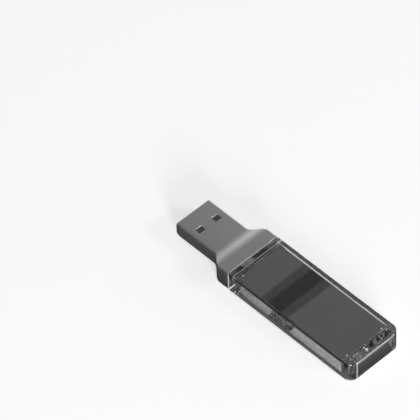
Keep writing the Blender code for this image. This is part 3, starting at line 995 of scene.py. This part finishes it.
def make_floor():
    """Plain pale floor, near white where the camera sees it."""
    bm = bmesh.new()
    bmesh.ops.create_grid(bm, x_segments=1, y_segments=1, size=FLOOR_SIZE)
    material, tree, shader = new_material("pale_floor")
    shader.inputs["Base Color"].default_value = (0.9, 0.9, 0.9, 1.0)
    shader.inputs["Roughness"].default_value = 0.9
    path = tree.nodes.new("ShaderNodeLightPath")
    dark = tree.nodes.new("ShaderNodeBsdfDiffuse")
    link(tree, contact_shade(tree), dark.inputs["Color"])
    white = tree.nodes.new("ShaderNodeEmission")
    white.inputs["Strength"].default_value = FLOOR_GLOW
    seen = tree.nodes.new("ShaderNodeAddShader")
    link(tree, shader.outputs["BSDF"], seen.inputs[0])
    link(tree, white.outputs["Emission"], seen.inputs[1])
    mix = tree.nodes.new("ShaderNodeMixShader")
    link(tree, path.outputs["Is Camera Ray"], mix.inputs[0])
    link(tree, dark.outputs["BSDF"], mix.inputs[1])
    link(tree, seen.outputs["Shader"], mix.inputs[2])
    link(tree, mix.outputs["Shader"], tree.nodes["Material Output"].inputs["Surface"])
    floor = to_object("floor", bm, material)
    floor.location.z = cad_low.z - FLOOR_GAP


def area_light(name, direction, distance, size, watts):
    """A soft light on the object, from a direction."""
    data = bpy.data.lights.new(name, "AREA")
    data.shape = "RECTANGLE"
    data.size, data.size_y = size
    data.energy = watts
    light = bpy.data.objects.new(name, data)
    direction = Vector(direction).normalized()
    light.location = direction * distance
    light.rotation_euler = direction.to_track_quat("Z", "Y").to_euler()
    bpy.context.scene.collection.objects.link(light)


def make_light():
    """Studio light: bright towards the horizon, dimmer overhead, white behind what the camera sees."""
    world = bpy.data.worlds.new("studio")
    world.use_nodes = True
    tree = world.node_tree
    x, y, z = place_axes(tree, "Generated")
    near_sky, far_sky = ramp(tree, z, greys(NEAR_SKY)), ramp(tree, z, greys(FAR_SKY))
    sky = mix_colour(tree, span(tree, y, *SKY_TURN, True), near_sky, far_sky)
    path = tree.nodes.new("ShaderNodeLightPath")
    glow = tree.nodes["Background"]
    link(tree, sky, glow.inputs["Color"])
    glow.inputs["Strength"].default_value = WORLD_STRENGTH
    backdrop = tree.nodes.new("ShaderNodeBackground")
    backdrop.inputs["Color"].default_value = WHITE
    mix = tree.nodes.new("ShaderNodeMixShader")
    link(tree, path.outputs["Is Camera Ray"], mix.inputs[0])
    link(tree, glow.outputs["Background"], mix.inputs[1])
    link(tree, backdrop.outputs["Background"], mix.inputs[2])
    link(tree, mix.outputs["Shader"], tree.nodes["World Output"].inputs["Surface"])
    bpy.context.scene.world = world
    for light in LIGHTS:
        area_light(*light)


def make_camera():
    data = bpy.data.cameras.new("camera")
    data.lens = LENS
    data.sensor_width = 36.0
    data.clip_start = 0.01
    data.clip_end = 50.0
    camera = bpy.data.objects.new("camera", data)
    back = Vector((
        sin(AZIMUTH) * cos(ELEVATION), -cos(AZIMUTH) * cos(ELEVATION), sin(ELEVATION),
    ))
    turn = back.to_track_quat("Z", "Y").to_matrix() @ Matrix.Rotation(ROLL, 3, "Z")
    camera.matrix_world = Matrix.Translation(AIM + back * DISTANCE) @ turn.to_4x4()
    bpy.context.scene.collection.objects.link(camera)
    bpy.context.scene.camera = camera


make_camera()
make_floor()
make_light()
# Plain clear plastic, and then one material for each test in SLEEVE_LOOKS, in their order
make_sleeve((
    clear_plastic("clear_plastic", 90.0, 0.002),
    # Painted highlight: the brightest lines at the joint, a light colour with a painted glow
    painted_highlight("painted_foot_highlight", 0.8, 0.9, 0.4),
    # Painted highlight: thin light lines along the rear top edge and the near corner
    painted_highlight("painted_rear_highlight", 0.42, 0.56, 0.05),
    # Painted highlight: lines along the joint's rim, the recess's front edge and the hollow's far edge
    painted_highlight("painted_highlight", 0.45, 0.65, 0.12),
    cut_wall(),
    clear_plastic("clear_moulded_wall", 3000.0, 0.003),
    far_wall(),
    clear_plastic("clear_front", 400.0, 0.001, 0.95),
    # Painted light: a faint glow on the bottom face that brightens the block's lower edge
    clear_plastic("clear_bottom_painted_glow", 90.0, 0.002, glow=0.035),
    # Painted glints: a light colour with a painted glow on short stretches of the rear corners
    painted_highlight("glint", 0.8, 0.9, 0.35),
    # Painted shade: the near top edge tinted almost black
    clear_plastic("painted_dark_near_rim", 90.0, 0.002, tint=0.02),
    # Painted shade: the recess's floor and the hollow's front edges tinted dark and cloudy
    clear_plastic("recess_painted_shade", 90.0, 0.002, 0.3, tint=0.06),
    # Painted shade: the hollow's near edges tinted darker
    clear_plastic("hollow_rim_painted_shade", 90.0, 0.002, tint=0.45),
    rear_face(),
))
make_nose(satin_metal(), grained("cut_edge", grey(0.75), grey(0.9), (0.4, 0.5), scale=2400.0))

black = grained("black_moulding", grey(0.018), grey(0.03), (0.4, 0.5))
panel_look = smoke_panel()
guide_look = frosted_guide()
spring = grained("spring_steel", grey(0.22), grey(0.34), (0.35, 0.45), metallic=1.0)
epoxy = marked_epoxy()
LOOKS = {
    "core_tray": tray_moulding(),
    "nose_collar": black,
    "plug_tongue": black_nylon(),
    "latch_spring": spring,
    "circuit_board": board_mask(),
    "top_panel": panel_look,
    "bottom_panel": panel_look,
    "controller_chip": epoxy,
    "memory_chip": epoxy,
    "voltage_regulator": epoxy,
    "crystal_can": grained(
        "crystal_can", grey(0.55), grey(0.68), (0.22, 0.34), metallic=1.0, stretch=(1, 12, 12)
    ),
    "resettable_fuse": tinned_chip("fuse", (0.04, 0.16, 0.08), (0.06, 0.24, 0.12)),
}
FAMILY_LOOKS = {
    "light_guide": guide_look,
    "contact": plated_contact(),
    "led": led_package(),
    "capacitor": tinned_chip("capacitor", (0.38, 0.27, 0.16), (0.52, 0.39, 0.25)),
    "resistor": tinned_chip("resistor", grey(0.02), grey(0.05)),
}
for name in nodes:
    for family, material in FAMILY_LOOKS.items():
        if name.startswith(family + "_"):
            LOOKS[name] = material
for name, material in LOOKS.items():
    paint(name, material)

bpy.context.scene.view_settings.view_transform = "Standard"
